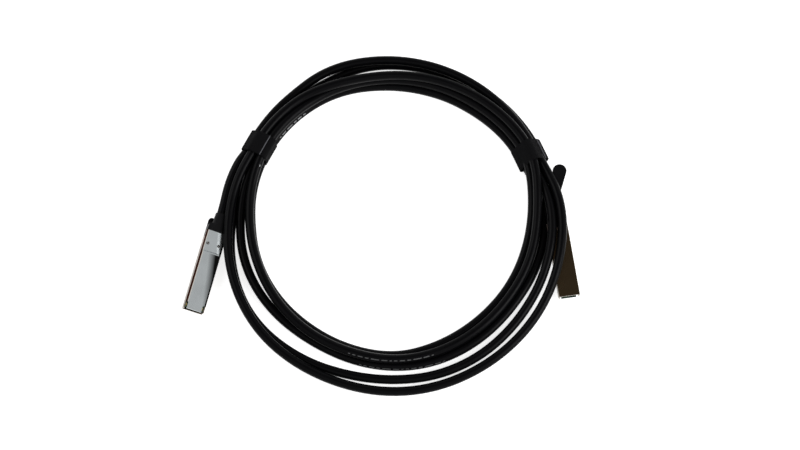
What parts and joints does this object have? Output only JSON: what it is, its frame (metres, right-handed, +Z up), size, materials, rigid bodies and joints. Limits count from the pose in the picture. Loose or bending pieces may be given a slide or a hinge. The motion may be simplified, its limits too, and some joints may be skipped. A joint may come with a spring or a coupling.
{
  "type": "direct attach copper cable",
  "caption": "Coiled black copper cable with a small-form-factor pluggable plug at each end, tied by two straps.",
  "frame": {"origin": "on the floor under the middle of the two plugs, which lie on either side of the coil", "axes": "+Z up from the floor, +X from the first plug to the second, +Y towards the tied side of the coil"},
  "size_m": [0.3449, 0.3138, 0.0235],
  "materials": {
    "cast_nickel": "satin nickel plate on die-cast zinc",
    "screw_steel": "plated",
    "board_green": "solder mask",
    "contact_gold": "gold plate",
    "chip_black": "moulded",
    "pair_foil": "foil shield",
    "clamp_resin": "moulded resin",
    "ferrule_brass": "plated",
    "slider_steel": "stamped stainless",
    "spring_steel": "drawn wire",
    "boot_black": "moulded, satin",
    "tab_black": "moulded, satin",
    "jacket_black": "semi-gloss PVC",
    "strap_black": "woven hook-and-loop"
  },
  "bodies": {
    "cable_assembly": {"housing_base_a": "cast_nickel", "housing_cover_a": "cast_nickel", "cover_screws_a": "screw_steel", "paddle_card_a": "board_green", "contact_pads_a": "contact_gold", "memory_chip_a": "chip_black", "twinax_pairs_a": "pair_foil", "wire_clamp_a": "clamp_resin", "cable_ferrule_a": "ferrule_brass", "latch_springs_a": "spring_steel", "strain_relief_boot_a": "boot_black", "cable_lead_a": "jacket_black", "housing_base_b": "cast_nickel", "housing_cover_b": "cast_nickel", "cover_screws_b": "screw_steel", "paddle_card_b": "board_green", "contact_pads_b": "contact_gold", "memory_chip_b": "chip_black", "twinax_pairs_b": "pair_foil", "wire_clamp_b": "clamp_resin", "cable_ferrule_b": "ferrule_brass", "latch_springs_b": "spring_steel", "strain_relief_boot_b": "boot_black", "cable_lead_b": "jacket_black", "cable_coil": "jacket_black", "tie_strap_left": "strap_black", "tie_strap_right": "strap_black"},
    "slider_a": {"latch_slider_a": "slider_steel", "pull_tab_a": "tab_black"},
    "slider_b": {"latch_slider_b": "slider_steel", "pull_tab_b": "tab_black"}
  },
  "joints": [
    {"name": "latch_slide_a", "type": "slide", "parent": "cable_assembly", "child": "slider_a", "axis": [0.274, 0.9617, 0], "range_m": [0, 0.003], "stiffness_N_per_m": 200, "springref_m": -0.002, "deforming": ["latch_springs_a"]},
    {"name": "latch_slide_b", "type": "slide", "parent": "cable_assembly", "child": "slider_b", "axis": [-0.1045, 0.9945, 0], "range_m": [0, 0.003], "stiffness_N_per_m": 200, "springref_m": -0.002, "deforming": ["latch_springs_b"]}
  ]
}
